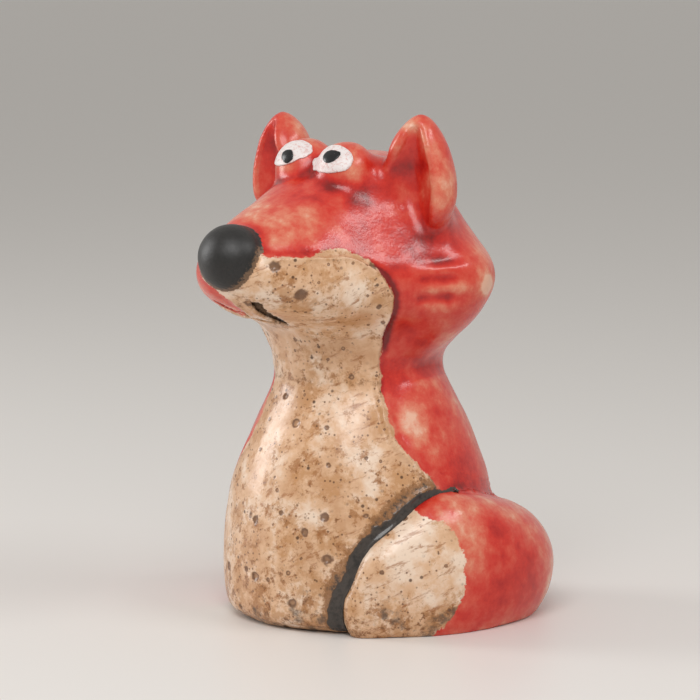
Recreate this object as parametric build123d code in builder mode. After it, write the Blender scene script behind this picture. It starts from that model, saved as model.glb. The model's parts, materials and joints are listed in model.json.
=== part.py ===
"""Seated fox figurine of glazed earthenware, put together from luted clay pieces.

Frame: millimetres, +Z up. The fox looks along -Y and its left side is +X.
The origin is on the standing surface, on the upright axis of the body.
"""

import os
from math import cos, radians, sin
from typing import NamedTuple

from build123d import *

# Body: a hollow casting, widest a little above its foot
body_height = 31.0
neck_radius = 10.8
belly_radius = 17.3
back_swell = 0.8
foot_edge_radius = 2.2
casting_wall = 3.4
drain_hole_radius = 3.5
drain_hole_set_back = 7.5

# Head: a hollow casting luted on the neck, turned a little to the fox's right
head_height = 28.0
head_turn = -6.0
cheek_half_width = 17.8
cheek_set_back = 3.6
snout_reach = 25.0
head_back = 12.5

# Ears: cupped forms, facing forwards and a little outwards
ear_rise = 5.0
ear_length = 15.0
ear_half_width = 5.9
ear_half_depth = 5.4
ear_root_spread = 10.3
ear_tip_spread = 11.8
ear_set_forward = 2.0
ear_facing = 18.0
ear_rim = 1.3
ear_scoop_depth = 1.15

# Eyes: clay pellets with raised dabs of enamel
eye_radius = 4.1
eye_spacing = 7.0
eye_set_forward = 6.4
eye_drop = 2.3
gaze_up = 36.0
enamel_thickness = 0.25
white_half_width = 3.1
white_half_height = 2.0
pupil_half_width = 1.05
pupil_half_height = 0.85

# Nose ball, seated in the end of the snout
nose_half_width = 4.4
nose_radius = 4.2
nose_inset = 1.4
nose_rise = 16.3

# Mouth: two incised slits under the snout
mouth_length = 9.0
mouth_width = 1.2
mouth_depth = 1.0
mouth_half_gap = 2.0
mouth_set_back = 5.8
mouth_rise = 9.3
mouth_slope = 31.0
mouth_converge = 16.0

# Cheek fur: three incised strokes on each tuft
fur_strokes = 3
fur_pitch = 2.3
fur_length = 4.6
fur_width = 1.2
fur_depth = 0.6
fur_set_forward = 7.0

# Cream slabs on the face and the chest
slab_thickness = 0.5
mask_rise = 17.2
mask_top_back = 12.5
mask_middle_back = 8.9
mask_middle_rise = 11.6
mask_neck_back = 5.6
mask_corner_radius = 5.0
bib_neck_left_angle = 50.0
bib_neck_right_angle = 41.0
bib_waist_left_angle = 55.0
bib_waist_right_angle = 42.0
bib_left_angle = 84.0
bib_right_angle = 62.0
bib_waist_height = 24.5
bib_knee_height = 15.0
bib_foot_gap = 0.9

# Tail: curls round the fox's left side with its tip in front
tail_tip_angle = 29.0
tail_root_angle = 188.0
tail_height = 16.8
tail_half_width = 8.0
tail_tip_end_angle = 73.0
tail_tip_bulge = 3.6
crease_depth = 0.5
crease_width = 1.2
crease_lead = 6.0
crease_start_angle = 10.0
crease_end_angle = 80.0


class Ring(NamedTuple):
    """One level of a lofted form, with its front towards -Y."""

    height: float
    half_width: float
    widest_at: float
    front: float
    back: float
    pointed: float


def ring_points(ring, grow):
    """Points round one level, from the front over +X to the back and round again."""
    wide = ring.half_width + grow
    reach_front = ring.front + grow + ring.widest_at
    reach_back = ring.back + grow - ring.widest_at
    side = []
    for turn, corner in ((30, 0.4), (60, 1.0), (90, 1.0)):
        pointed = corner * ring.pointed
        round_x = wide * sin(radians(turn))
        round_y = ring.widest_at - reach_front * cos(radians(turn))
        straight_x = wide * turn / 90
        straight_y = ring.widest_at - reach_front * (1 - turn / 90)
        x = round_x + pointed * (straight_x - round_x)
        y = round_y + pointed * (straight_y - round_y)
        side.append((x, y))
    for turn in (60, 30):
        x = wide * sin(radians(turn))
        y = ring.widest_at + reach_back * cos(radians(turn))
        side.append((x, y))
    front_point = (0, ring.widest_at - reach_front)
    back_point = (0, ring.widest_at + reach_back)
    other_side = [(-x, y) for x, y in reversed(side)]
    return [front_point, *side, back_point, *other_side]


def lofted(rings, frame, grow=0.0):
    """A smooth solid through the rings, each grown outwards by the same amount."""
    with BuildPart() as form:
        for ring in rings:
            with BuildSketch(frame.offset(ring.height)):
                with BuildLine():
                    Spline(*ring_points(ring, grow), periodic=True)
                make_face()
        loft()
    return form.part


def ball(frame, half_width, radius):
    """An ellipsoid of revolution about the frame's x direction."""
    with BuildPart() as form:
        with BuildSketch(frame):
            with BuildLine():
                EllipticalCenterArc((0, 0), half_width, radius, 0, arc_size=180)
                Line((-half_width, 0), (half_width, 0))
            make_face()
        revolve(axis=Axis(frame.origin, frame.x_dir))
    return form.part


# The cheek tufts stick out at this share of the head's height
cheek_level = 0.471

# Share of the body's height, and of the way from neck radius to belly radius
body_levels = [
    (0.0, 0.95),
    (0.19, 1.0),
    (0.43, 0.92),
    (0.60, 0.75),
    (0.74, 0.53),
    (0.87, 0.26),
    (1.0, 0.0),
]
body_rings = []
for share, swell in body_levels:
    radius = neck_radius + swell * (belly_radius - neck_radius)
    deeper = swell * back_swell
    body_rings.append(
        Ring(share * body_height, radius, deeper / 2, radius, radius + deeper, 0.0)
    )

# Shares of the head's height, cheek width, cheek set-back, snout reach and back, then pointedness
head_levels = [
    (0.16, 0.69, 0.20, 0.47, 0.90, 0.15),
    (0.286, 0.89, 0.65, 0.67, 0.96, 0.40),
    (0.375, 0.97, 0.90, 0.91, 0.99, 0.50),
    (cheek_level, 1.0, 1.0, 1.01, 1.0, 0.55),
    (0.589, 0.89, 0.80, 1.0, 0.99, 0.55),
    (0.696, 0.73, 0.40, 0.90, 0.97, 0.50),
    (0.821, 0.60, 0.10, 0.62, 0.89, 0.35),
    (0.929, 0.48, -0.25, 0.36, 0.70, 0.15),
    (0.986, 0.30, -0.35, 0.24, 0.40, 0.0),
    (1.0, 0.14, -0.35, 0.16, 0.12, 0.0),
]
head_rings = [Ring(body_height, neck_radius, 0.0, neck_radius, neck_radius, 0.0)]
for share, width, set_back, reach, back, pointed in head_levels:
    head_rings.append(
        Ring(
            body_height + share * head_height,
            width * cheek_half_width,
            set_back * cheek_set_back,
            reach * snout_reach,
            back * head_back,
            pointed,
        )
    )

body_frame = Plane.XY
head_frame = Plane.XY.rotated((0, 0, head_turn))
head_side = Plane((0, 0, 0), x_dir=head_frame.y_dir, z_dir=head_frame.x_dir)
crown_height = body_height + head_height


def at_head(x, y, z, x_dir=head_frame.x_dir, z_dir=head_frame.z_dir):
    """A plane at a point given in the head's own turned frame."""
    return Plane(head_frame.from_local_coords((x, y, z)), x_dir=x_dir, z_dir=z_dir)


def body_form(grow=0.0):
    """The outside of the body, grown outwards, with its rounded foot edge."""
    with BuildPart() as form:
        add(lofted(body_rings, body_frame, grow))
        fillet(form.edges().group_by(Axis.Z)[0], foot_edge_radius + grow)
    return form.part


body_solid = body_form()
head_solid = lofted(head_rings, head_frame)

nose_frame = at_head(0, nose_inset - snout_reach, body_height + nose_rise)
nose_solid = ball(nose_frame, nose_half_width, nose_radius)


class TailStation(NamedTuple):
    """One upright section of the tail, at an angle round the body from its front."""

    angle: float
    outward: float
    middle: float
    half_width: float
    half_height: float


# Shares of the way round, then of the tail's width and height
tail_shares = [
    (0.0, 0.0, 0.20, 0.08, 0.10),
    (0.06, -0.13, 0.23, 0.40, 0.33),
    (0.14, -0.18, 0.35, 0.53, 0.49),
    (0.24, -0.18, 0.42, 0.67, 0.59),
    (0.35, -0.18, 0.42, 0.81, 0.60),
    (0.48, -0.13, 0.38, 0.97, 0.55),
    (0.64, -0.13, 0.35, 1.05, 0.50),
    (0.81, -0.33, 0.28, 0.90, 0.41),
    (1.0, -0.82, 0.20, 0.60, 0.28),
]
tail_stations = []
for share, outward, middle, width, height in tail_shares:
    tail_stations.append(
        TailStation(
            tail_tip_angle + share * (tail_root_angle - tail_tip_angle),
            belly_radius + outward * tail_half_width,
            middle * tail_height,
            width * tail_half_width,
            height * tail_height,
        )
    )


def upright_plane(angle, outward, height):
    """A plane across the tail's run, its x direction pointing away from the body's axis."""
    away = Vector(sin(radians(angle)), -cos(radians(angle)), 0)
    along = Vector(cos(radians(angle)), sin(radians(angle)), 0)
    return Plane(away * outward + Vector(0, 0, height), x_dir=away, z_dir=along)


def tail_form(grow=0.0):
    """The curled tail, grown outwards, cut flat where it stands."""
    with BuildPart() as form:
        for station in tail_stations:
            with BuildSketch(upright_plane(station.angle, station.outward, station.middle)):
                Ellipse(station.half_width + grow, station.half_height + grow)
        loft()
        split(bisect_by=Plane.XY, keep=Keep.TOP)
    return form.part


tail_solid = tail_form()

# Everything that only cuts another piece reaches well past the figure
far_out = 60.0


def sector_points(left_angle, right_angle):
    """A wedge about the front direction, from the body's axis out past the figure."""
    left = (far_out * sin(radians(left_angle)), -far_out * cos(radians(left_angle)))
    right = (-far_out * sin(radians(right_angle)), -far_out * cos(radians(right_angle)))
    return [(0, 0), left, (left[0], -far_out), (right[0], -far_out), right]


# Level of the chest's outline, then its angles to the fox's left and right
bib_levels = [
    (bib_foot_gap, bib_left_angle, bib_right_angle),
    (bib_knee_height, bib_left_angle, bib_right_angle),
    (bib_waist_height, bib_waist_left_angle, bib_waist_right_angle),
    (body_height, bib_neck_left_angle, bib_neck_right_angle),
]
with BuildPart() as bib_outline:
    for height, left_angle, right_angle in bib_levels:
        with BuildSketch(Plane.XY.offset(height)):
            with BuildLine():
                Polyline(*sector_points(left_angle, right_angle), close=True)
            make_face()
    loft(ruled=True)

with BuildPart() as mask_outline:
    with BuildSketch(head_side):
        with BuildLine():
            Polyline(
                (-far_out, body_height + mask_rise),
                (-mask_top_back, body_height + mask_rise),
                (-mask_middle_back, body_height + mask_middle_rise),
                (-mask_neck_back, body_height),
                (-far_out, body_height),
                close=True,
            )
        make_face()
        top_corner = vertices().group_by(Axis.Y)[-1].sort_by(Axis.X)[-1]
        fillet(top_corner, mask_corner_radius)
    extrude(amount=far_out, both=True)

# Mouth: a slanting slot on each side of the middle, cut to an even depth
slope = radians(mouth_slope)
mouth_along = head_frame.y_dir * cos(slope) - head_frame.z_dir * sin(slope)
mouth_outward = -head_frame.y_dir * sin(slope) - head_frame.z_dir * cos(slope)
with BuildPart() as mouth_slits:
    for side in (-1, 1):
        place = at_head(
            side * mouth_half_gap,
            mouth_set_back - snout_reach,
            body_height + mouth_rise,
            x_dir=mouth_along,
            z_dir=mouth_outward,
        )
        with BuildSketch(place):
            SlotOverall(mouth_length, mouth_width, rotation=-side * mouth_converge)
    extrude(amount=snout_reach / 4, both=True)
    add(lofted(head_rings, head_frame, -mouth_depth), mode=Mode.SUBTRACT)

# Fur: short level strokes on each cheek tuft, cut to an even depth
cheek_height = body_height + cheek_level * head_height
with BuildPart() as fur_strokes_left:
    for stroke in range(fur_strokes):
        rise = (stroke - (fur_strokes - 1) / 2) * fur_pitch
        place = at_head(
            cheek_half_width,
            cheek_set_back - fur_set_forward,
            cheek_height + rise,
            x_dir=head_frame.y_dir,
            z_dir=head_frame.x_dir,
        )
        with BuildSketch(place):
            SlotOverall(fur_length, fur_width)
    extrude(amount=cheek_half_width / 2, both=True)
    add(lofted(head_rings, head_frame, -fur_depth), mode=Mode.SUBTRACT)

# The hollow left by the casting slip, open at the neck and at the drain hole
with BuildPart() as body_hollow:
    add(lofted(body_rings, body_frame, -casting_wall))
    split(bisect_by=Plane.XY.offset(casting_wall), keep=Keep.TOP)

hollow_radius = head_back - casting_wall
hollow_middle = body_height + neck_radius
with BuildPart() as head_hollow:
    with BuildSketch(Plane.XY.offset(body_height)):
        Circle(neck_radius - casting_wall)
    extrude(amount=hollow_middle - body_height)
    with Locations((0, 0, hollow_middle)):
        Sphere(hollow_radius)

os.makedirs("parts", exist_ok=True)

with BuildPart() as body:
    add(body_solid)
    add(body_hollow.part, mode=Mode.SUBTRACT)
    with BuildSketch(Plane.XY):
        with Locations((0, drain_hole_set_back)):
            Circle(drain_hole_radius)
    extrude(amount=casting_wall, mode=Mode.SUBTRACT)
body.part.label = "body"
export_step(body.part, "parts/body.step")

with BuildPart() as head:
    add(head_solid)
    add(nose_solid, mode=Mode.SUBTRACT)
    add(head_hollow.part, mode=Mode.SUBTRACT)
    add(mouth_slits.part, mode=Mode.SUBTRACT)
    add(fur_strokes_left.part, mode=Mode.SUBTRACT)
    mirror(fur_strokes_left.part, about=head_side, mode=Mode.SUBTRACT)
head.part.label = "head"
export_step(head.part, "parts/head.step")

with BuildPart() as nose:
    add(nose_solid)
nose.part.label = "nose"
export_step(nose.part, "parts/nose.step")

with BuildPart() as face_mask:
    add(lofted(head_rings, head_frame, slab_thickness))
    add(mask_outline.part, mode=Mode.INTERSECT)
    add(head_solid, mode=Mode.SUBTRACT)
    add(nose_solid, mode=Mode.SUBTRACT)
    add(mouth_slits.part, mode=Mode.SUBTRACT)
face_mask.part.label = "face_mask"
export_step(face_mask.part, "parts/face_mask.step")

gaze = -head_frame.y_dir * cos(radians(gaze_up)) + head_frame.z_dir * sin(radians(gaze_up))


def eye_plane(side, facing=head_frame.z_dir):
    """A plane through the middle of the eye on the fox's left (1) or right (-1)."""
    across = side * eye_spacing / 2
    return at_head(across, -eye_set_forward, crown_height - eye_drop, z_dir=facing)


def eye_layer(side, grow=0.0):
    """The eye pellet with so much enamel on it."""
    return ball(eye_plane(side), eye_radius + grow, eye_radius + grow)


# Share of the ear's length, then of its half width and half depth
ear_levels = [
    (0.0, 0.50, 0.52),
    (0.12, 0.78, 0.80),
    (0.33, 0.87, 0.88),
    (0.62, 0.70, 0.73),
    (0.86, 0.42, 0.46),
    (0.97, 0.18, 0.20),
    (1.0, 0.07, 0.07),
]
ear_x_dir = head_frame.x_dir.rotate(Axis.Z, ear_facing)
ear_y_dir = head_frame.y_dir.rotate(Axis.Z, ear_facing)
ear_tip_height = crown_height + ear_rise


def ear_plane(share, forward=0.0):
    """A level plane across the left ear, moved the way the ear faces."""
    spread = ear_root_spread + share * (ear_tip_spread - ear_root_spread)
    height = ear_tip_height - (1 - share) * ear_length
    middle = at_head(spread, -ear_set_forward, height)
    return Plane(middle.origin - ear_y_dir * forward, x_dir=ear_x_dir)


# The hollow of the ear leaves an even rim, and runs out on the head at the root
scoop_levels = [(0.0, 0.75, 0.75), *ear_levels[1:5], (0.94, 0.3, 0.3)]
with BuildPart() as ear_scoop:
    for share, width, depth in scoop_levels:
        with BuildSketch(ear_plane(share, depth * ear_half_depth)):
            Ellipse(width * ear_half_width - ear_rim, depth * ear_half_depth * ear_scoop_depth)
    loft()

with BuildPart() as ear_blank:
    for share, width, depth in ear_levels:
        with BuildSketch(ear_plane(share)):
            Ellipse(width * ear_half_width, depth * ear_half_depth)
    loft()
    add(ear_scoop.part, mode=Mode.SUBTRACT)

with BuildPart() as left_ear:
    add(ear_blank.part)
    add(eye_layer(1), mode=Mode.SUBTRACT)
    add(head_solid, mode=Mode.SUBTRACT)
left_ear.part.label = "left_ear"
export_step(left_ear.part, "parts/left_ear.step")

with BuildPart() as right_ear:
    mirror(ear_blank.part, about=head_side)
    add(eye_layer(-1), mode=Mode.SUBTRACT)
    add(head_solid, mode=Mode.SUBTRACT)
right_ear.part.label = "right_ear"
export_step(right_ear.part, "parts/right_ear.step")


def enamel_dab(side, half_width, half_height, under):
    """An oval dab of enamel over what already lies on the eye."""
    over = under + enamel_thickness
    with BuildPart() as dab:
        with BuildSketch(eye_plane(side, gaze)):
            Ellipse(half_width, half_height)
        extrude(amount=eye_radius + 2 * over)
        add(eye_layer(side, over), mode=Mode.INTERSECT)
        add(eye_layer(side, under), mode=Mode.SUBTRACT)
        add(head_solid, mode=Mode.SUBTRACT)
    return dab.part


for side, name in ((1, "left"), (-1, "right")):
    with BuildPart() as eyeball:
        add(eye_layer(side))
        split(bisect_by=head_side, keep=Keep.TOP if side > 0 else Keep.BOTTOM)
        add(head_solid, mode=Mode.SUBTRACT)
    eyeball.part.label = f"{name}_eyeball"
    export_step(eyeball.part, f"parts/{name}_eyeball.step")

    with BuildPart() as eye_white:
        add(enamel_dab(side, white_half_width, white_half_height, 0))
    eye_white.part.label = f"{name}_eye_white"
    export_step(eye_white.part, f"parts/{name}_eye_white.step")

    with BuildPart() as pupil:
        add(enamel_dab(side, pupil_half_width, pupil_half_height, enamel_thickness))
    pupil.part.label = f"{name}_pupil"
    export_step(pupil.part, f"parts/{name}_pupil.step")

# The cream end of the tail stops at an edge that bulges towards the root
tip_view = upright_plane(tail_tip_end_angle, 0, 0)
with BuildPart() as tip_outline:
    with BuildSketch(Plane(tip_view.origin, x_dir=tip_view.z_dir, z_dir=tip_view.x_dir)):
        with BuildLine():
            edge = ThreePointArc((-tail_tip_bulge, 0), (0, tail_height / 2), (-tail_tip_bulge, tail_height))
            above = edge @ 1 + (edge % 1) * tail_height
            below = edge @ 0 - (edge % 0) * tail_height
            Line(edge @ 1, above)
            Polyline(above, (-far_out, above.Y), (-far_out, below.Y), below)
            Line(below, edge @ 0)
        make_face()
    extrude(amount=far_out)

with BuildPart() as luted_tail:
    add(tail_solid)
    add(body_solid, mode=Mode.SUBTRACT)

with BuildPart() as tail:
    add(luted_tail.part)
    add(tip_outline.part, mode=Mode.SUBTRACT)
tail.part.label = "tail"
export_step(tail.part, "parts/tail.step")

with BuildPart() as tail_tip:
    add(luted_tail.part)
    add(tip_outline.part, mode=Mode.INTERSECT)
tail_tip.part.label = "tail_tip"
export_step(tail_tip.part, "parts/tail_tip.step")

with BuildPart() as chest_bib:
    add(body_form(slab_thickness))
    add(bib_outline.part, mode=Mode.INTERSECT)
    add(body_solid, mode=Mode.SUBTRACT)
    add(tail_solid, mode=Mode.SUBTRACT)
chest_bib.part.label = "chest_bib"
export_step(chest_bib.part, "parts/chest_bib.step")

# Dark glaze that ran into the crease between the tail and the chest
with BuildPart() as crease_limits:
    with BuildSketch(Plane.XY.offset(bib_foot_gap)):
        with BuildLine():
            Polyline(*sector_points(crease_end_angle, -crease_start_angle), close=True)
        make_face()
    extrude(amount=far_out)

with BuildPart() as tail_crease_glaze:
    add(tail_form(crease_width), rotation=(0, 0, -crease_lead))
    add(body_form(slab_thickness + crease_depth), mode=Mode.INTERSECT)
    add(crease_limits.part, mode=Mode.INTERSECT)
    add(tail_solid, mode=Mode.SUBTRACT)
    add(body_solid, mode=Mode.SUBTRACT)
    add(chest_bib.part, mode=Mode.SUBTRACT)
tail_crease_glaze.part.label = "tail_crease_glaze"
export_step(tail_crease_glaze.part, "parts/tail_crease_glaze.step")
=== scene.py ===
# %% [markdown]
# A small seated fox of glazed earthenware. The CAD pieces come in as a fixed frame, at their real size, and
# every piece below takes its place from them. A fired pot has no crisp edges: clay is luted, smeared and
# fingered, and glaze runs over the joins, so the CAD pieces serve as the armature for softer clay skins.

# %% Load the frame
import json
import math

import bmesh
import bpy
import numpy as np
from mathutils import Matrix, Vector, kdtree, noise
from mathutils.bvhtree import BVHTree

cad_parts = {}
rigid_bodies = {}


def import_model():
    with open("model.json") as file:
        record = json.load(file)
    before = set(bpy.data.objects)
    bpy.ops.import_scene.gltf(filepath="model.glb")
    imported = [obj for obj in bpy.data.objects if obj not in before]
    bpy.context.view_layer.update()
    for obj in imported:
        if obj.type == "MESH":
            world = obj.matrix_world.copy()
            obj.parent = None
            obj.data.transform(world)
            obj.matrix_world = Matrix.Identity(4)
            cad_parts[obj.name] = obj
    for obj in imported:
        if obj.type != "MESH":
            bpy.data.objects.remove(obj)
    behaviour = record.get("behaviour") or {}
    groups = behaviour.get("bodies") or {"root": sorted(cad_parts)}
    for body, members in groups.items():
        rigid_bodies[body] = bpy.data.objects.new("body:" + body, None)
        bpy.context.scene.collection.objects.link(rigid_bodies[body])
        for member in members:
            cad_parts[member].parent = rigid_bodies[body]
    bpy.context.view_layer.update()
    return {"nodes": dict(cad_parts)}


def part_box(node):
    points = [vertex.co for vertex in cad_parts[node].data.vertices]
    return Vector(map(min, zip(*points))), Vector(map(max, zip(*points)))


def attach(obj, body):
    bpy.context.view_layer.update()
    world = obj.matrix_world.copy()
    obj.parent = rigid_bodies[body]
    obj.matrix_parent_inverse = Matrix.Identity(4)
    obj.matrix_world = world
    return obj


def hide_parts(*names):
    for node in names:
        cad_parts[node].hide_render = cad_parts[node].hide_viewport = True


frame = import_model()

METRES = 0.001
SEED = 11
rng = np.random.default_rng(SEED)
noise.seed_set(SEED)

# %% [markdown]
# Wet clay has no triangles of its own, so the CAD copies are pressed together into one lump. Joining them
# with booleans would keep every hard corner. A voxel remesh instead casts a new skin of even little squares
# over them, fine enough for the fingermarks and pits that follow, and closes the seams between the pieces.

# %% Press CAD pieces into a lump of clay
CLAY_GRAIN = 0.25
SAME_PLACE = 0.001
RUB = 0.5


def cad_copy(*nodes):
    """A merged copy of these CAD nodes in millimetres."""
    copy = bmesh.new()
    for name in nodes:
        copy.from_mesh(frame["nodes"][name].data)
    bmesh.ops.scale(copy, vec=Vector((1, 1, 1)) / METRES, verts=copy.verts)
    bmesh.ops.remove_doubles(copy, verts=copy.verts, dist=SAME_PLACE)
    return copy


def worked(mesh, **steps):
    """The mesh after these modifiers, each given by its kind with its settings."""
    holder = bpy.data.objects.new("holder", mesh)
    bpy.context.scene.collection.objects.link(holder)
    for kind, settings in steps.items():
        step = holder.modifiers.new(kind, kind)
        for name, value in settings.items():
            setattr(step, name, value)
    done = bpy.data.meshes.new_from_object(holder.evaluated_get(bpy.context.evaluated_depsgraph_get()))
    bpy.data.objects.remove(holder)
    return done


def pressed(nodes, grain, rounds=4):
    """One closed skin of small squares over these CAD nodes, in millimetres."""
    lump = cad_copy(*nodes)
    mesh = bpy.data.meshes.new("lump")
    lump.to_mesh(mesh)
    lump.free()
    press = {"mode": "VOXEL", "voxel_size": grain}
    return worked(mesh, REMESH=press, SMOOTH={"factor": RUB, "iterations": rounds})


print("clay grain in mm:", CLAY_GRAIN)

# %% [markdown]
# A thumb smears clay along the surface or pushes it in and out, and a skin can do both here. Its points are
# read into arrays, because moving a hundred thousand points one by one would be slow. To smear is to draw
# each point towards the middle of its neighbours, and to swell is to move it along its normal.

# %% Read a skin
class Skin:
    """A clay surface as arrays, with points in millimetres."""

    def __init__(self, mesh):
        self.mesh = mesh
        self.points = np.zeros(len(mesh.vertices) * 3)
        mesh.vertices.foreach_get("co", self.points)
        self.points = self.points.reshape(-1, 3)
        corners = np.zeros(len(mesh.loops), int)
        mesh.loops.foreach_get("vertex_index", corners)
        self.faces = corners.reshape(-1, 4)
        edges = np.zeros(len(mesh.edges) * 2, int)
        mesh.edges.foreach_get("vertices", edges)
        self.start, self.end = edges.reshape(-1, 2).T
        self.marks = {}

    def normals(self):
        """The outward direction at each point."""
        self.mesh.vertices.foreach_set("co", self.points.ravel())
        self.mesh.update()
        out = np.zeros(len(self.points) * 3)
        self.mesh.vertex_normals.foreach_get("vector", out)
        return out.reshape(-1, 3)

    def spread(self, fields, rounds, weight=RUB):
        """Fields, or the points, evened out along the surface where there is weight."""
        weight = np.broadcast_to(weight, len(self.points))
        used = (weight[self.start] > 0) | (weight[self.end] > 0)
        ends = np.concatenate([self.start[used], self.end[used]])
        inside, local = np.unique(ends, return_inverse=True)
        start, end = local.reshape(2, -1)
        neighbours = np.bincount(local)
        share = weight[inside]
        columns = fields[inside].T.copy()
        for _ in range(rounds):
            for column in columns:
                total = np.bincount(start, column[end], len(inside))
                total += np.bincount(end, column[start], len(inside))
                column += share * (total / neighbours - column)
        fields = fields.copy()
        fields[inside] = columns.T
        return fields

    def smear(self, rounds, weight):
        """Smooth the surface itself where there is weight."""
        self.points = self.spread(self.points, rounds, weight)

    def swell(self, amount):
        """Move each point outwards by its amount in millimetres, or inwards where it is below nought."""
        self.points += self.normals() * amount[:, None]

    def tree(self):
        """A search tree over the surface as it is now."""
        return BVHTree.FromPolygons(self.points.tolist(), self.faces.tolist())


# %% [markdown]
# A potter thinks of a surface in terms of nearness: near the ear's root, near the edge of the slip, down in a
# crease. The same questions are put to the skin here. Blender's search trees give the distances, because
# comparing every point with every face would take minutes, and soft fall-offs turn them into weights.

# %% Measure distances
FAR = 8.0


def distance_to(points, *nodes):
    """Millimetres from each point to the nearest surface of these CAD nodes, if it isn't far."""
    shape = cad_copy(*nodes)
    tree = BVHTree.FromBMesh(shape)
    corners = np.array([v.co for v in shape.verts])
    shape.free()
    close = ((points > corners.min(0) - FAR) & (points < corners.max(0) + FAR)).all(1)
    distance = np.full(len(points), FAR)
    distance[close] = [tree.find_nearest(p)[3] for p in points[close]]
    return np.minimum(distance, FAR)


def away(points, place):
    """Millimetres from each point to one place."""
    return np.linalg.norm(points - np.array(place), axis=1)


def nearest_of(points, places):
    """Distance to the nearest of some places, and which one it is."""
    tree = kdtree.KDTree(len(places))
    for i, place in enumerate(places):
        tree.insert(place, i)
    tree.balance()
    found = [tree.find(p) for p in points]
    return np.array([f[2] for f in found]), np.array([f[1] for f in found])


def nearness(distance, reach):
    """One at the surface, falling softly to nothing at the reach."""
    share = np.clip(1 - distance / reach, 0, 1)
    return share * share * (3 - 2 * share)


def bell(distance, width):
    """One at nought, falling off on both sides."""
    return np.exp(-((distance / width) ** 2))


# %% [markdown]
# A lump pressed from several pieces has lost their names. Each face is given to the CAD piece that it lies
# nearest to, and the border between two pieces is evened out, since a jagged one would show as a saw edge.
# From a border, the distance into a piece can be measured, and from the smoothed skin, how deep a hollow is.

# %% Know the pieces and hollows of a skin
BORDER = 3.0


def owners(skin, distances, rounds=36):
    """Which of the nodes each face belongs to, with the borders evened out."""
    distances = np.stack(distances, 1)
    share = np.eye(distances.shape[1])[distances.argmin(1)]
    first, second = np.partition(distances, 1, axis=1)[:, :2].T
    share = skin.spread(share, rounds, np.where(second - first < BORDER, RUB, 0))
    return share[skin.faces].sum(1).argmax(1)


def owned(skin_owner, nodes, *names):
    """The faces that belong to these nodes."""
    return np.isin(skin_owner, [nodes.index(name) for name in names])


def inside_border(skin, chosen):
    """Distance from the border of the chosen faces, above nought inside it."""
    within = np.zeros(len(skin.points), bool)
    without = np.zeros(len(skin.points), bool)
    within[skin.faces[chosen].ravel()] = True
    without[skin.faces[~chosen].ravel()] = True
    border = within & without
    distance = nearest_of(skin.points, skin.points[border])[0]
    return np.where(border, 0, np.where(within, distance, -distance))


def recess(skin, rounds, weight=RUB):
    """How deep each point lies below the surface around it, in millimetres."""
    return ((skin.spread(skin.points, rounds, weight) - skin.points) * skin.normals()).sum(1)


# %% [markdown]
# Nothing about a hand-finished pot is quite even. Slow swells of a tenth of a millimetre catch the light and
# break up long highlights. They are moved into the mesh itself, so that the outline has them too.

# %% Finger the surface
FINGERMARKS = ((0.16, 7.0), (0.05, 2.2))


def wavering(points, *waves):
    """Smooth noise, the sum of waves that each have a height and a size in millimetres."""
    total = np.zeros(len(points))
    for height, size in waves:
        total += height * np.array([noise.noise(Vector(p) / size) for p in points])
    return total


def finger(skin):
    """Push the surface in and out a little, as fingers do."""
    skin.swell(wavering(skin.points, *FINGERMARKS))


# %% [markdown]
# The cream clay is groggy: bits of grit burn or pop out in the kiln and leave small ragged pits, which the
# brown oxide wash then fills. Each pit is a shallow dent in the mesh at a seeded random place, and every
# point keeps how far it is from the nearest pit, in pit radii, so that the material can darken the pit.

# %% Pit the cream clay
PIT_MARGIN = 0.6
PIT_TRIES = 3000
PIT_CROWDING = (0.2, 2.2)
PIT_RADII = (0.2, 0.75)
PIT_RARITY = 4
PIT_DEPTH_SHARE = 0.4
PIT_WAVES = ((0.45, 0.8), (0.3, 0.3))
FAR_FROM_PITS = 4.0


def pit(skin, bare, spacing):
    """Dent the bare clay with pits about so far apart, and mark how near each point is to one."""
    candidates = np.flatnonzero(bare > PIT_MARGIN)
    rng.shuffle(candidates)
    centres = []
    for i in candidates[:: max(1, len(candidates) // PIT_TRIES)]:
        place = skin.points[i]
        if all(np.linalg.norm(place - c) > spacing * rng.uniform(*PIT_CROWDING) for c in centres):
            centres.append(place)
    smallest, largest = PIT_RADII
    radii = smallest + (largest - smallest) * rng.random(len(centres)) ** PIT_RARITY
    tones = rng.random(len(centres))
    distance, which = nearest_of(skin.points, np.array(centres))
    share = distance / radii[which] + wavering(skin.points, *PIT_WAVES)
    skin.swell(-PIT_DEPTH_SHARE * radii[which] * np.clip(1 - share * abs(share), 0, 1))
    skin.marks["pit"] = np.clip(share, 0, FAR_FROM_PITS)
    skin.marks["pit_tone"] = tones[which]
    return len(centres)


# %% [markdown]
# A brush lays the red glaze on unevenly, and in the kiln it runs off ridges and pools in hollows. Thick glaze
# is a deep red and thin glaze shows the clay through it. How thick it lies is worked out here for each point:
# from the hollows at two scales, and from the places where the brush left much or little. The head's places
# are given for its left side, and are used on both sides of the turned head.

# %% Brush on the glaze
HEAD_TURN = math.radians(-6)
FINE_POOLING = 2.6
FINE_LIMITS = (-0.03, 0.25)
BROAD_POOLING = 1.1
BROAD_LIMITS = (-0.1, 0.3)
BROAD_ROUNDS = 90
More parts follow.
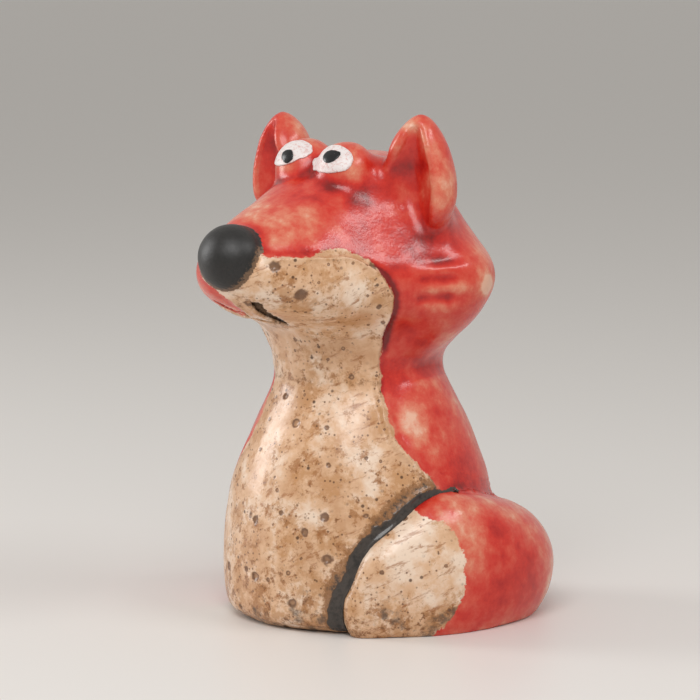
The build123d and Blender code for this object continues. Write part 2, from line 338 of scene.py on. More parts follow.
# A place in millimetres, its size, and how much more glaze lies there.
ON_HEAD = [
    ((14, -4, 46), 8, 0.28),
    ((11, -3, 36), 5, 0.25),
    ((10, -2, 58), 6, 0.08),
    ((13, -2, 60), 6, 0.2),
    ((6, -17, 51), 8, -0.16),
    ((2, -20, 51), 6, -0.12),
    ((6, -9, 57), 3, -0.25),
    ((9, -3, 55), 3, -0.25),
    ((17, -1, 43), 2.5, -0.2),
    ((4, -11, 55), 2.5, 0.22),
    ((8, -8, 55), 2.5, 0.22),
    ((17, 4, 43), 2, -0.9),
]
ON_BODY = [
    ((14, 1, 23), 8, 0.12),
    ((12, -6, 26), 5, -0.35),
    ((23, 0, 9), 8, 0.2),
    ((16, -8, 15), 4, 0.15),
    ((20, -5, 11), 6, -0.12),
    ((20, -5, 3), 6, -0.12),
    ((9, -5, 31), 3, 0.2),
]


def on_both_sides(place):
    """A place given for the left side of the straight head, by side, on the turned head."""
    across, back, height = place
    turn = Matrix.Rotation(HEAD_TURN, 3, "Z")
    return {side: turn @ Vector((side * across, back, height)) for side in (1, -1)}


def glaze_thickness(skin, fine):
    """How much thicker than usual the glaze lies at each point."""
    thick = FINE_POOLING * np.clip(fine, *FINE_LIMITS)
    thick += BROAD_POOLING * np.clip(recess(skin, BROAD_ROUNDS), *BROAD_LIMITS)
    for place, size, amount in brushed:
        thick += amount * nearness(away(skin.points, place), size)
    return thick


brushed = list(ON_BODY)
for place, size, amount in ON_HEAD:
    brushed += [(turned, size, amount) for turned in on_both_sides(place).values()]
print("brushed places:", len(brushed))

# %% [markdown]
# Head and body: skull, snout, nose, cheek tufts, ears, eye pellets, torso and the two cream slabs. They are
# pressed into one skin, because no join between them shows on the pot. They could also be smoothed one by
# one, but then the surface would break at every seam.

# %% Press the head and body
FIGURE = [
    "head", "face_mask", "left_ear", "right_ear", "left_eyeball", "right_eyeball", "nose", "body", "chest_bib"
]
TAIL = ["tail", "tail_tip"]
POOL = "tail_crease_glaze"

figure = Skin(pressed(FIGURE, CLAY_GRAIN))
reach = {name: distance_to(figure.points, name) for name in FIGURE + [POOL]}
figure_owner = owners(figure, [reach[name] for name in FIGURE])
near_head = np.minimum(reach["head"], reach["face_mask"])
near_body = np.minimum(reach["body"], reach["chest_bib"])
near_ears = np.minimum(reach["left_ear"], reach["right_ear"])
near_eyes = np.minimum(reach["left_eyeball"], reach["right_eyeball"])
print("figure skin:", len(figure.points), "points")

# %% [markdown]
# Ears and pellets are luted on, so the clay is smeared smooth round their roots and along the neck, while
# the incised mouth stays sharp. Smoothing the whole skin would melt the mouth as well. So each smear has a
# weight, often the nearness to one piece times that to another, and a number of rounds of the thumb.

# %% Smear the joins
sides = [corner.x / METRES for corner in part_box("head")]
off_tuft = np.minimum(abs(figure.points[:, 0] - sides[0]), abs(figure.points[:, 0] - sides[1]))
smears = [
    (nearness(near_head, 5.0) * nearness(near_ears, 5.0), 130),
    (nearness(near_ears, 0.6), 22),
    (nearness(near_head, 2.2) * nearness(near_eyes, 2.2), 34),
    (nearness(reach["left_eyeball"], 2.0) * nearness(reach["right_eyeball"], 2.0), 40),
    (nearness(near_head, 0.8) * nearness(reach["nose"], 0.8), 4),
    (nearness(near_head, 3.5) * nearness(near_body, 3.5), 70),
    (nearness(off_tuft, 7.0), 40),
]
for weight, rounds in smears:
    figure.smear(rounds, np.minimum(RUB, weight))
print("smears:", len(smears))

# %% [markdown]
# A thumb takes clay off ridges, but a potter also presses a little roll of clay into a crease. For that, only
# the hollows follow the smoothed surface and the ridges stay. The ears are then thickened, because a thumbed
# ear has a fat round rim, and the right one sags, as a heavy ear does before it is dry.

# %% Fill the creases and fatten the ears
CLAY_FILL = 0.8
FILL_ROUNDS = 60
EAR_RIM_FATTEN = 0.4
EAR_DROOP = 0.7
EAR_HEIGHT = 12.0

fills = [(nearness(near_ears, 2.0), 11), (nearness(near_head, 5.0) * nearness(near_body, 5.0), 4)]
for weight, times in fills:
    for _ in range(times):
        hollow = np.clip(recess(figure, FILL_ROUNDS, np.minimum(RUB, weight)), 0, None)
        figure.swell(CLAY_FILL * hollow)
before_ear = nearness(near_head, 2.0) * nearness(near_ears, 5.0)
figure.smear(FILL_ROUNDS, np.minimum(RUB, before_ear))
on_ear = nearness(near_ears, 0.8) * (1 - nearness(near_head, 4.0))
figure.swell(EAR_RIM_FATTEN * on_ear)
ear_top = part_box("right_ear")[1].z / METRES
up_ear = np.clip((figure.points[:, 2] - ear_top) / EAR_HEIGHT + 1, 0, 1)
figure.points[:, 2] -= EAR_DROOP * nearness(reach["right_ear"], 2.0) * up_ear
print("last fill, at most in mm:", round(float(hollow.max()), 3))

# %% [markdown]
# Three short strokes on each cheek stand for fur. They were drawn in the soft clay with a blunt tool, so each
# is a shallow groove, deepest in its middle. A bump in the material could draw them too, but a real groove
# also catches the glaze. After them, fingers go over the whole figure.

# %% Draw the fur strokes
STROKES = [
    ((14.5, -3.9, 46.3), (16.8, 0.7, 46.5)),
    ((15.4, -3.4, 44.0), (17.6, 0.3, 44.3)),
    ((15.4, -2.5, 41.6), (17.3, 1.0, 41.9)),
]
STROKE_DEPTH = 0.2
STROKE_WIDTH = 0.85
STROKE_ENDS = 0.4
STROKE_MIDDLE = 2.4

for stroke in STROKES:
    for side in (1, -1):
        start, end = [np.array(on_both_sides(place)[side]) for place in stroke]
        line = end - start
        along = np.clip((figure.points - start) @ line / (line @ line), 0, 1)
        off = np.linalg.norm(figure.points - start - along[:, None] * line, axis=1)
        pressure = STROKE_ENDS + STROKE_MIDDLE * along * (1 - along)
        figure.swell(-STROKE_DEPTH * bell(off, STROKE_WIDTH) * pressure)
finger(figure)
print("fur strokes:", len(STROKES) * 2)

# %% [markdown]
# Where the cream ends. The clay colour covers the two slabs, reaches down into the mouth slits, under the
# far side of the chin and over the unglazed foot, and leaves the far side of the snout red. Balls of a given
# place and size pick those faces out. The result is one field, the distance inside the cream.

# %% Choose the cream
MOUTH = (-2.0, -19.0, 40.3)
MOUTH_REACH = 5.5
FAR_SNOUT = [((-7.0, -22.0, 42.0), 4.9), ((-8.5, -20.0, 47.0), 3.8)]
FAR_THROAT = (-3.0, -11.0, 37.0)
FAR_THROAT_REACH = 7.5
FOOT = 0.3
BIB_FOOT = 1.8
EDGE_ROUNDS = 14
EDGE_REACH = 1.3

middles = figure.points[figure.faces].mean(1)
face_reach = reach["chest_bib"][figure.faces].mean(1)
cream = owned(figure_owner, FIGURE, "face_mask", "chest_bib", "nose")
cream |= (away(middles, MOUTH) < MOUTH_REACH) & owned(figure_owner, FIGURE, "head")
cream |= (away(middles, FAR_THROAT) < FAR_THROAT_REACH) & owned(figure_owner, FIGURE, "body")
cream |= (middles[:, 2] < FOOT) | ((middles[:, 2] < BIB_FOOT) & (face_reach < BIB_FOOT))
for place, size in FAR_SNOUT:
    cream &= ~((away(middles, place) < size) & owned(figure_owner, FIGURE, "head", "face_mask"))
figure_bare = inside_border(figure, cream)
figure.smear(EDGE_ROUNDS, RUB * nearness(abs(figure_bare), EDGE_REACH))
print("cream faces:", int(cream.sum()))

# %% [markdown]
# The cream slabs end in different ways. The face slab has a raised lip with a groove pressed beside it, the
# bib has a soft ridge at the left, and its far edge is wiped flat. Heights on the figure, and sides of it,
# fade one into the other, so these zones are made first.

# %% Zones of the cream's edge
SLAB_BACK = (45.5, 47.5)
SLAB_NECK = (31.0, 36.0)
BIB_RIDGE = (14.0, 20.0)
BIB_LEFT = (0.0, 6.0)
BIB_RIDGE_SHARE = 1.5
FAR_BIB_TOP = (26.0, 34.0)
FAR_BIB_SIDE = (-8.0, -3.0)
FAR_BIB_ROUNDS = 90
FAR_BIB_REACH = 4.0
NOSE_CLEAR = 2.5
FAR_SNOUT_CLEAR = 9.0

height = figure.points[:, 2]
up_bib = np.interp(height, BIB_RIDGE, (0, 1))
up_neck = np.interp(height, SLAB_NECK, (0, 1))
far_bib = up_bib * np.interp(height, FAR_BIB_TOP, (1, 0))
far_bib = far_bib * np.interp(figure.points[:, 0], FAR_BIB_SIDE, (1, 0))
figure.smear(FAR_BIB_ROUNDS, RUB * far_bib * nearness(abs(figure_bare), FAR_BIB_REACH))
at_back = np.interp(height, SLAB_BACK, (1, 0)) * up_neck
off_snout = away(figure.points, FAR_SNOUT[0][0])
on_mask = up_neck * (1 - nearness(reach["nose"], NOSE_CLEAR)) * (1 - nearness(off_snout, FAR_SNOUT_CLEAR))
on_bib = up_bib * (1 - up_neck)
ridged = on_mask + BIB_RIDGE_SHARE * on_bib * np.interp(figure.points[:, 0], BIB_LEFT, (0, 1))
print("points on the far edge of the bib:", int((far_bib > 0).sum()))

# %% [markdown]
# The lip and its groove are bells across the distance inside the cream, and the slab steps up behind them.
# The clay colour runs a little past the lip along the top and stops short of the slab's edge at the back.
# Relief and colour come from the same distance, so that they can't drift apart.

# %% Raise the lip of the cream
LIP_INSET = 0.7
LIP_HEIGHT = 0.27
LIP_PLACE = 0.5
LIP_WIDTH = 0.36
STEP_HEIGHT = 0.25
STEP_LENGTHS = (0.5, 4.0)
GROOVE_DEPTH = 0.28
GROOVE_PLACE = -0.5
GROOVE_WIDTH = 0.5
GROOVE_AT_TOP = 0.4
FAR_BIB_GAP = 1.3
TAN_BAND = [(7, -16.5, 48.5), (8.5, -14, 48.2), (10, -12.5, 47)]
TAN_REACH = 3.5
TAN_WIDTH = 1.0
CREAM_EDGE_WAVES = ((0.3, 2.4), (0.15, 0.8))

past_lip = figure_bare - LIP_INSET * (1 - at_back)
step_up, step_down = [np.clip(past_lip / length, 0, 1) for length in STEP_LENGTHS]
step = STEP_HEIGHT * on_mask * (step_up - step_down)
lip = LIP_HEIGHT * ridged * bell(past_lip - LIP_PLACE, LIP_WIDTH)
groove = GROOVE_AT_TOP + (1 - GROOVE_AT_TOP) * at_back
groove = GROOVE_DEPTH * on_mask * groove * bell(past_lip - GROOVE_PLACE, GROOVE_WIDTH)
figure.swell(step + lip - groove)
tan_band = sum(nearness(away(figure.points, place), TAN_REACH) for place in TAN_BAND)
figure_bare = past_lip + np.minimum(tan_band, 1) * TAN_WIDTH
figure_bare -= FAR_BIB_GAP * far_bib
figure_bare += wavering(figure.points, *CREAM_EDGE_WAVES)
print("cream points:", int((figure_bare > 0).sum()))

# %% [markdown]
# The mouth is two slits pressed through the face slab with a blade. The skin has rounded them, so the points
# that lie nearer to the head than to the slab, the floor of the slits, are pressed in deeper. Every point
# keeps its nearness to that floor, for the oxide that stays there.

# %% Deepen the mouth
SLIT_DEPTH = 0.5
SLIT_WIDTH = 0.45
SLIT_OXIDE = 0.38

slit = np.full(len(figure.points), FAR)
in_mouth = away(figure.points, MOUTH) < MOUTH_REACH
floor = in_mouth & (reach["head"] < reach["face_mask"])
slit[in_mouth] = nearest_of(figure.points[in_mouth], figure.points[floor])[0]
figure.swell(-SLIT_DEPTH * nearness(slit, SLIT_WIDTH))
figure.marks["slit"] = nearness(slit, SLIT_OXIDE)
print("slit points:", int(floor.sum()))

# %% [markdown]
# Tail: a fat curled roll with a cream end. It is pressed from its two CAD pieces as the figure was, and stays
# a skin of its own, because a roll of clay is made apart from the body. Its flank bulges a little in front.

# %% Roll the tail
TAIL_ROUNDS = 6
TIP_FLANK = (11.5, -14.5, 10.5)
TIP_FLANK_REACH = 7.0
TIP_BULGE = 1.3

roll = Skin(pressed(TAIL, CLAY_GRAIN, TAIL_ROUNDS))
roll_owner = owners(roll, [distance_to(roll.points, name) for name in TAIL])
roll.swell(TIP_BULGE * nearness(away(roll.points, TIP_FLANK), TIP_FLANK_REACH))
finger(roll)
print("tail skin:", len(roll.points), "points")

# %% [markdown]
# The tail is luted to the body's side, and no seam shows there, because slip and glaze fill the crease. One
# way would be to join the two skins, but they are separate pieces. So the lower body, the tail and the dark
# glaze are also pressed into a third lump, the seat, which is wiped smooth along the crease, and the points
# of tail and body that lie just below its surface are lifted to it.

# %% Lute the tail on the body
LUTING = {"tail": 0.7, "body": 0.9}
BODY_SINK = 0.05
BODY_SKIN = 1.0
CREASE_SMEAR = 2.4
CREASE_ROUNDS = 46
GLAZE_SHELTER = 2.0
CLEAR_OF_GLAZE = 1.0
SEAT_ROUNDS = 6


def luted(skin, near, tree, deepest):
    """How far each point near the join lies below the smeared surface over it."""
    out = skin.normals()
    lift = np.zeros(len(skin.points))
    for i in np.flatnonzero(near):
        place, normal, _, below = tree.ray_cast(skin.points[i], out[i], deepest)
        if place and normal.dot(Vector(out[i])) > 0:
            lift[i] = below
    return out * lift[:, None], lift


seat = Skin(pressed(["body", "chest_bib", *TAIL, POOL], CLAY_GRAIN))
seat_body = distance_to(seat.points, "body", "chest_bib")
seat_tail = distance_to(seat.points, *TAIL)
seat_pool = distance_to(seat.points, POOL)
seat_owner = owners(seat, [seat_body, seat_tail, seat_pool], SEAT_ROUNDS)
in_crease = nearness(seat_body, CREASE_SMEAR) * nearness(seat_tail, CREASE_SMEAR)
seat.smear(CREASE_ROUNDS, np.minimum(RUB, in_crease * (1 - nearness(seat_pool, GLAZE_SHELTER))))
finger(seat)
seat_tree = seat.tree()
roll_body = distance_to(roll.points, "body", "chest_bib")
figure_tail = distance_to(figure.points, *TAIL)
roll_near = (roll_body < CREASE_SMEAR) & (distance_to(roll.points, POOL) > CLEAR_OF_GLAZE)
lifted, roll_lift = luted(roll, roll_near, seat_tree, LUTING["tail"])
roll.points += lifted
figure_near = (figure_tail < CREASE_SMEAR) & (near_body < BODY_SKIN) & (reach[POOL] > CLEAR_OF_GLAZE)
lifted, figure_lift = luted(figure, figure_near, seat_tree, LUTING["body"])
figure.points += lifted - figure.normals() * (BODY_SINK * (figure_lift > 0))[:, None]
print("points lifted on tail and body:", int((roll_lift > 0).sum()), int((figure_lift > 0).sum()))

# %% [markdown]
# Before the skins are cut up, they learn what the finishes will ask of them: how deep a point lies in a
# hollow, how thick the glaze is there, how far inside the cream it is, and how near a crease that holds soot.
# The pits come last, so that they don't count as hollows, and then what went below the table is put on it.

# %% Mark both skins for their coats
TIP_EDGE_WAVES = ((0.5, 3.0), (0.2, 0.9))
TIP_NOTCH = (16, -9, 15)
TIP_NOTCH_REACH = 3.5
TIP_NOTCH_DEPTH = 1.6
# The tail tip is painted paler towards its top. It has fewer oxide smudges there, and the rest is painted
# light, as light falls on its upper flank.
TIP_PALER = 0.08
TIP_PALER_HEIGHTS = (3, 7)
NECK_STAIN = 0.8
NECK_FADE = 0.8
NOSE_SKIN = 1.0
FINE_ROUNDS = 14
JOINT_GLAZE = 0.25
JOINT_REACH = 1.5
FIGURE_PITS_APART = 3.4
TAIL_PITS_APART = 8.0

roll_bare = inside_border(roll, owned(roll_owner, TAIL, "tail_tip"))
roll_bare += wavering(roll.points, *TIP_EDGE_WAVES)
roll_bare -= TIP_NOTCH_DEPTH * nearness(away(roll.points, TIP_NOTCH), TIP_NOTCH_REACH)
roll.marks["slit"] = np.zeros(len(roll.points))
off_nose = np.where(reach["nose"] < NOSE_SKIN, 0, figure_bare)
neck_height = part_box("head")[0].z / METRES
neck_stain = NECK_STAIN + NECK_FADE * abs(figure.points[:, 2] - neck_height)
# The mark that makes the tail tip paler towards its top, nought on the figure. Part of it is fewer smudges
# and part is painted light.
figure.marks["paler_top"] = np.zeros(len(figure.points))
roll.marks["paler_top"] = TIP_PALER * np.interp(roll.points[:, 2], TIP_PALER_HEIGHTS, (0, 1))
for skin, bare, gritty, crease, joint, spacing in (
    (figure, figure_bare, off_nose, np.minimum(reach[POOL], neck_stain), figure_tail, FIGURE_PITS_APART),
    (roll, roll_bare, roll_bare, np.full(len(roll.points), FAR), roll_body, TAIL_PITS_APART),
):
    fine = recess(skin, FINE_ROUNDS)
    skin.marks["recess"] = fine
    skin.marks["glaze"] = glaze_thickness(skin, fine) + JOINT_GLAZE * nearness(joint, JOINT_REACH)
    skin.marks["bare"] = bare
    skin.marks["crease"] = crease
    print("pits:", pit(skin, gritty, spacing))
    skin.points[:, 2] = np.maximum(skin.points[:, 2], 0)

# %% [markdown]
# A finished mesh takes the place of the CAD piece of the same name and rides on the same body. A very fine
# one is thinned, which loses nothing that can be seen. The light would show the cuts between pieces if each
# worked out its own normals, so they keep those of the whole skin.

# %% Place a finished piece
MOST_TRIANGLES = 190_000
pieces = {}


def triangles_in(mesh):
    """How many triangles the faces of a mesh come to."""
    return sum(len(face.vertices) - 2 for face in mesh.polygons)


def place_piece(name, mesh):
    """Make a finished mesh, in millimetres, the piece that stands for the CAD node of that name."""
    triangles = triangles_in(mesh)
    if triangles > MOST_TRIANGLES:
        mesh = worked(mesh, DECIMATE={"ratio": MOST_TRIANGLES / triangles})
    mesh.transform(Matrix.Scale(METRES, 4))
    mesh.name = name
    piece = bpy.data.objects.new(name, mesh)
    bpy.context.scene.collection.objects.link(piece)
    mesh.shade_smooth()
    if "skin_normal" in mesh.attributes:
        normals = np.zeros(len(mesh.vertices) * 3)
        mesh.attributes["skin_normal"].data.foreach_get("vector", normals)
        mesh.attributes.remove(mesh.attributes["skin_normal"])
        mesh.normals_split_custom_set_from_vertices(normals.reshape(-1, 3).tolist())
    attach(piece, "root")
    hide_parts(name)
    pieces[name] = piece
    print(f"{name}: {len(mesh.polygons)} faces, {triangles_in(mesh)} triangles")


# %% [markdown]
# A slab, or the pooled glaze, is a coat that thins out at its border. The piece under it keeps the same
# faces, sunk by the coat's thickness, and the coat is those faces with the sunk ones as its back and a thin
# wall round its rim. Solidify gives a thickness too, but not one that thins out and fits the piece below.

# %% Lay a coat
COAT = 0.5
COAT_FEATHER = 1.0
COAT_RIM = 0.06


def write_marks(skin, coated):
    """Store on the skin's mesh what was measured, its normals, and where it lies under the coated parts."""
    out = skin.normals()
    thick = COAT * np.clip((coated + COAT_RIM) / COAT_FEATHER, 0, 1)
    under = skin.points - out * thick[:, None]
    for mark, field in (("skin_normal", out), ("under", under)):
        skin.mesh.attributes.new(mark, "FLOAT_VECTOR", "POINT").data.foreach_set("vector", field.ravel())
    for mark, field in skin.marks.items():
        skin.mesh.attributes.new(mark, "FLOAT", "POINT").data.foreach_set("value", field)


def back_coat(part, rim, under, out):
    """Give a coat its back, which is its faces again, sunk and turned round, and a wall along its rim."""
    copy = bmesh.ops.duplicate(part, geom=part.faces)
    back = [f for f in copy["geom"] if isinstance(f, bmesh.types.BMFace)]
    for vertex in {v for f in back for v in f.verts}:
        vertex.co = vertex[under]
        vertex[out] = -vertex[out]
    bmesh.ops.reverse_faces(part, faces=back)
    for edge in rim:
        loop = edge.link_loops[0]
        first, second = loop.vert, loop.link_loop_next.vert
        part.faces.new((second, first, copy["vert_map"][first], copy["vert_map"][second]))


# %% [markdown]
# Each skin is now cut back into the pieces that a potter would name. An ear, an eye pellet or the nose is
# lifted off with its own faces, and its root is turned inwards and closed. Head and body part at the neck,
# where the outer rim of each is bridged to its inner one, since both are hollow.

# %% Cut a piece from a skin
ROOT_DEPTH = 0.8
NECK_BAND = 2.5


def close_roots(part, out):
    """Turn the open rims inwards and close them below the surface."""
    rim = [e for e in part.edges if e.is_boundary]
    turned = bmesh.ops.extrude_edge_only(part, edges=rim)["geom"]
    for vertex in [g for g in turned if isinstance(g, bmesh.types.BMVert)]:
        vertex.co -= vertex[out] * ROOT_DEPTH
        vertex.co.z = max(vertex.co.z, 0)
    inner = [g for g in turned if isinstance(g, bmesh.types.BMEdge) and g.is_boundary]
    closed = bmesh.ops.holes_fill(part, edges=inner, sides=0)["faces"]
    bmesh.ops.triangulate(part, faces=closed)


def cut_piece(skin, chosen, coat=False):
    """The chosen faces of a skin as a closed mesh: a coat with its own back, or a piece under the coats."""
    part = bmesh.new()
    part.from_mesh(skin.mesh)
    part.faces.ensure_lookup_table()
    bmesh.ops.delete(part, geom=[part.faces[i] for i in np.flatnonzero(~chosen)], context="FACES")
    under = part.verts.layers.float_vector["under"]
    out = part.verts.layers.float_vector["skin_normal"]
    rim = [e for e in part.edges if e.is_boundary]
    if coat:
        back_coat(part, rim, under, out)
    else:
        for vertex in part.verts:
            vertex.co = vertex[under]
        neck = [e for e in rim if abs(e.verts[0].co.z - neck_height) < NECK_BAND]
        if neck:
            bmesh.ops.bridge_loops(part, edges=neck)
        if any(e.is_boundary for e in rim):
            close_roots(part, out)
    print("open edges:", sum(not e.is_manifold for e in part.edges), end="; ")
    part.verts.layers.float_vector.remove(under)
    mesh = bpy.data.meshes.new("cut")
    part.to_mesh(mesh)
    part.free()
    return mesh


# %% [markdown]
# The cuts themselves, first on the figure and then on the tail. Head and body keep the faces below the slabs,
# and the slabs come off as coats. The nose also learns how near the face is, where its slip is rubbed off.

# %% The pieces of the head, body and tail
NOSE_WEAR = 2.4

figure.marks["worn"] = nearness(reach["face_mask"], NOSE_WEAR)
slabs = [inside_border(figure, owned(figure_owner, FIGURE, name)) for name in ("face_mask", "chest_bib")]
write_marks(figure, np.maximum(*slabs))
place_piece("head", cut_piece(figure, owned(figure_owner, FIGURE, "head", "face_mask")))
place_piece("body", cut_piece(figure, owned(figure_owner, FIGURE, "body", "chest_bib")))
for name in ("face_mask", "chest_bib"):
    place_piece(name, cut_piece(figure, owned(figure_owner, FIGURE, name), coat=True))
for name in ("left_ear", "right_ear", "left_eyeball", "right_eyeball"):
    place_piece(name, cut_piece(figure, owned(figure_owner, FIGURE, name)))
place_piece("nose", cut_piece(figure, owned(figure_owner, FIGURE, "nose")))

write_marks(roll, np.full(len(roll.points), -FAR))
for name, slot in zip(TAIL, ("red_glaze", "cream_clay")):
    place_piece(name, cut_piece(roll, owned(roll_owner, TAIL, name)))

# %% [markdown]
# Dark glaze ran down the crease between tail and body and pooled there, thickest against the tail. The seat
# has faces in the right place for it. They are laid on the finished body, rise beside the tail as a liquid
# does at a wall, and dip under the body's surface at the ragged edge, so that the edge has no step.

# %% Lay the glaze in the crease
GLAZE_NEAR = 2.0
GLAZE_REACH = 1.5
GLAZE_HEIGHTS = (2, 8)
GLAZE_WIDENING = (1.5, 1.0)
GLAZE_END = 0.7
GLAZE_STRAY = 0.9
GLAZE_ON_TAIL = 0.5
GLAZE_EDGE_WAVES = ((0.35, 1.3), (0.2, 0.5))
GLAZE_SKIRT = 0.35
GLAZE_SLOPE = 0.3
GLAZE_THICKNESS = 0.05
GLAZE_MENISCUS = 0.7
GLAZE_MENISCUS_RISE = 0.35
OFF_THE_TABLE = (0.1, 0.05)
TAIL_OWNER = 1

roll_tree = roll.tree()
figure_tree = figure.tree()
near_pool = np.flatnonzero(seat_pool < GLAZE_NEAR)
from_tail = np.full(len(seat.points), FAR)
from_tail[near_pool] = [roll_tree.find_nearest(p)[3] for p in seat.points[near_pool]]
wide = np.interp(seat.points[:, 2], GLAZE_HEIGHTS, GLAZE_WIDENING) * GLAZE_REACH
past_end = seat.points[:, 2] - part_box(POOL)[1].z / METRES + GLAZE_END
edge = np.maximum(np.maximum(from_tail - wide, past_end), seat_pool - GLAZE_STRAY)
edge += wavering(seat.points, *GLAZE_EDGE_WAVES)
in_pool = (seat_owner != TAIL_OWNER) | (seat_pool[seat.faces].mean(1) < GLAZE_ON_TAIL)
in_pool &= edge[seat.faces].mean(1) < GLAZE_SKIRT
in_pool &= seat.points[seat.faces][:, :, 2].min(1) > OFF_THE_TABLE[0]
rise = GLAZE_THICKNESS + GLAZE_MENISCUS_RISE * nearness(from_tail, GLAZE_MENISCUS)
rise = np.minimum(rise, -GLAZE_SLOPE * edge)
for i in near_pool:
    place, out, _, _ = figure_tree.find_nearest(seat.points[i])
    sunk = (Vector(seat.points[i]) - place).dot(out) - rise[i]
    if sunk > 0 or edge[i] > -GLAZE_SKIRT:
        seat.points[i] -= sunk * np.array(out)
seat.points[:, 2] = np.maximum(seat.points[:, 2], OFF_THE_TABLE[1])
seat.marks["depth"] = -edge
write_marks(seat, inside_border(seat, in_pool))
place_piece(POOL, cut_piece(seat, in_pool, coat=True))

# %% [markdown]
# The eyes are thick dabs of enamel, brushed on before the glaze had quite dried, so their edges are ragged.
# Each dab is cast from its CAD piece in a finer grain, pulled about a little, and laid on the smeared clay:
# a point keeps its height above the eye pellet, thinned as a liquid coat thins, but on the finished skin.

# %% Enamel dabs
DAB_GRAIN = 0.07
DAB_ROUNDS = 8
RAGGED = 0.2
RAGGED_SIZE = 1.2
DAB_THINNING = 0.5
LEFTWARDS = Vector((0.81, 0.59, 0))
UPWARDS = Vector((0, 0, 1))
# The piece, its slot, the coat under it, its lift and shift, its tilt in degrees, and its stretch both ways.
DABS = [
    ("left_eye_white", "white_enamel", 0.0, 0.04, (-0.45, -0.3, 0.25), 12, 1.12, 1.2),
    ("right_eye_white", "white_enamel", 0.0, 0.04, (0.25, 0.2, 0.15), 33, 1.15, 0.45),
    ("left_pupil", "black_enamel", 0.25, 0.14, (0.2, 0.1, -0.1), 15, 1.35, 1.05),
    ("right_pupil", "black_enamel", 0.25, 0.14, (0.25, 0.25, -0.6), 0, 0.75, 1.0),
]
for name, slot, under, lift, shift, tilt, longer, wider in DABS:
    dab = Skin(pressed([name], DAB_GRAIN, DAB_ROUNDS))
    shape = cad_copy(name.split("_")[0] + "_eyeball")
    pellet_tree = BVHTree.FromBMesh(shape)
    shape.free()
    tilt = math.radians(tilt)
    along = LEFTWARDS * math.cos(tilt) + UPWARDS * math.sin(tilt)
    across = UPWARDS * math.cos(tilt) - LEFTWARDS * math.sin(tilt)
    middle = Vector(dab.points.mean(0))
    for i, point in enumerate(dab.points):
        foot, _, _, height = pellet_tree.find_nearest(point)
        off = foot - middle
        pull = along * (off.dot(along) * (longer - 1)) + across * (off.dot(across) * (wider - 1))
        pull += Vector(shift)
        pull += noise.noise_vector(Vector(point) / RAGGED_SIZE) * RAGGED
        seat_at, out, _, _ = figure_tree.find_nearest(foot + pull)
        dab.points[i] = seat_at + out * (DAB_THINNING * (height - under) + lift)
    dab.normals()
    place_piece(name, dab.mesh)

# %% [markdown]
# Colours are written as the sRGB hex values a designer would pick and turned to linear light by one function.
# A second function adds a shader node, sets its values, makes its links and hands back one of its outputs, so
# that each material below reads as a list of steps.

# %% Colour and node helpers
def colour(code):
    """An sRGB hex value as linear light."""
    parts = [int(code[i : i + 2], 16) / 255 for i in (1, 3, 5)]
    return (*[p / 12.92 if p <= 0.04045 else ((p + 0.055) / 1.055) ** 2.4 for p in parts], 1.0)


def add(tree, kind, inputs=None, out=0, stops=None, **settings):
    """Add a node with its settings, colour stops, values and links, and give one of its outputs."""
    made = tree.nodes.new(kind)
    for name, value in settings.items():
        setattr(made, name, value)
    if stops:
        elements = made.color_ramp.elements
        while len(elements) < len(stops):
            elements.new(1.0)
        for element, (position, code) in zip(elements, stops):
            element.position = position
            element.color = colour(code)
    for socket, value in (inputs or {}).items():
        if isinstance(value, bpy.types.NodeSocket):
            tree.links.new(value, made.inputs[socket])
        else:
            made.inputs[socket].default_value = value
    return made.outputs[out]


def new_material(name):
    """An empty material with its shader, and places on the object in millimetres."""
    material = bpy.data.materials.new(name)
    material.use_nodes = True
    tree = material.node_tree
    shader = tree.nodes["Principled BSDF"]
    place = add(tree, "ShaderNodeTexCoord", out="Object")
    place = add(tree, "ShaderNodeVectorMath", {0: place, "Scale": 1 / METRES}, operation="SCALE")
    return material, tree, shader, place


# %% [markdown]
# Red glaze: a translucent iron-red on pale clay. It is a deep red where it pooled, breaks to orange and peach
# where it is thin, and drifts between them in clouds of some millimetres with a finer mottle. The mesh says
# where it pooled and where the brush left much of it.

# %% Red glaze
GLAZE_CLOUDS = 7.5
GLAZE_MOTTLE = 2.2
GLAZE_STOPS = [
    (0.0, "#e4b298"),
    (0.16, "#da8266"),
    (0.36, "#d3523e"),
    (0.56, "#cb2e20"),
    (0.78, "#b01710"),
    (1.0, "#7c0d0a"),
]


def red_glaze(tree, place):
    """The colour of the glaze, by how thick it lies."""
    glaze = add(tree, "ShaderNodeAttribute", out="Fac", attribute_name="glaze")
    sizes = {"Vector": place, "Scale": 1 / GLAZE_CLOUDS, "Detail": 3.0, "Roughness": 0.55}
    clouds = add(tree, "ShaderNodeTexNoise", sizes)
    sizes = {"Vector": place, "Scale": 1 / GLAZE_MOTTLE, "Detail": 7.0, "Roughness": 0.68}
    mottle = add(tree, "ShaderNodeTexNoise", sizes)
    thick = add(tree, "ShaderNodeMath", {0: clouds, 1: 1.3, 2: glaze}, operation="MULTIPLY_ADD")
    thick = add(tree, "ShaderNodeMath", {0: mottle, 1: 0.9, 2: thick}, operation="MULTIPLY_ADD")
    thick = add(tree, "ShaderNodeMath", {0: thick, 1: 0.58}, operation="SUBTRACT")
    return add(tree, "ShaderNodeValToRGB", {"Fac": thick}, stops=GLAZE_STOPS)


# %% [markdown]
# Cream clay: a groggy pale body with brown oxide rubbed over it and wiped off again. What stays behind is
# what the eye sees: smudges of a millimetre or two, and wipe streaks that slant across the chest. A painted
# texture could show them, but noise of the right size needs no map and never repeats.

# %% Cream clay: the wiped oxide
CLAY_TONES = 4.5
CLAY_STOPS = [(0.34, "#c99b74"), (0.5, "#dcb491"), (0.64, "#ecd4be")]
